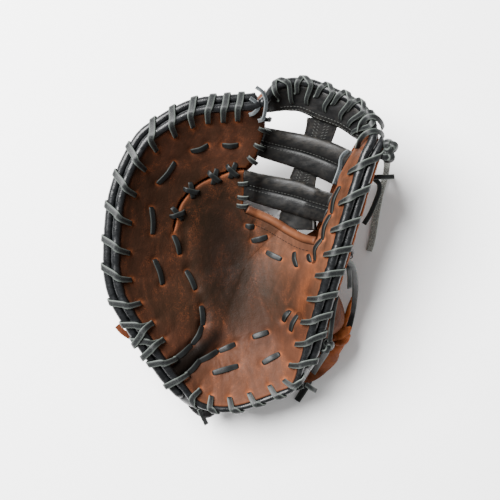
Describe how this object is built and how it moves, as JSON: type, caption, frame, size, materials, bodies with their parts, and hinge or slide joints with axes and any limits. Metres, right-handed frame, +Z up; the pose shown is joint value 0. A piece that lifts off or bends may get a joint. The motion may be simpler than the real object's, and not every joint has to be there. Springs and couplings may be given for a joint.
{
  "type": "first baseman mitt",
  "caption": "Leather first baseman mitt lying on its back, deep laced pocket, open web with crown, bars and post, rolled rim bindings and free lace ends",
  "frame": {"origin": "middle of the mitt's bounding box on the surface that it lies on", "axes": "+Z is up, +Y runs from the heel to the finger tips, +X runs from the finger side to the thumb side"},
  "size_m": [0.2802, 0.3226, 0.1397],
  "materials": {
    "brown_leather": "oiled full grain leather, dark chocolate brown with rust pull-up at holes and edges",
    "tan_leather": "oiled full grain leather, warm orange tan",
    "black_leather": "smooth black leather with a soft shine and scuffed edges",
    "lace": "flat rawhide lace, charcoal with paler cut edges"
  },
  "bodies": {
    "root": {"palm_panel": "brown_leather", "finger_back": "tan_leather", "thumb_back": "tan_leather", "wrist_strap": "tan_leather", "front_roll": "black_leather", "finger_back_roll": "black_leather", "wrist_binding": "black_leather", "thumb_back_roll": "black_leather", "pocket_edge_roll": "tan_leather", "web_crown": "black_leather", "web_crown_roll": "black_leather", "web_bar_upper": "black_leather", "web_bar_lower": "black_leather", "web_post": "black_leather", "finger_rim_lace": "lace", "heel_lace": "lace", "thumb_rim_lace": "lace", "crown_lace": "lace", "web_knot": "lace", "heel_knot": "lace", "web_lace_tail": "lace", "heel_lace_tail": "lace", "back_lace_tail": "lace"}
  },
  "joints": []
}
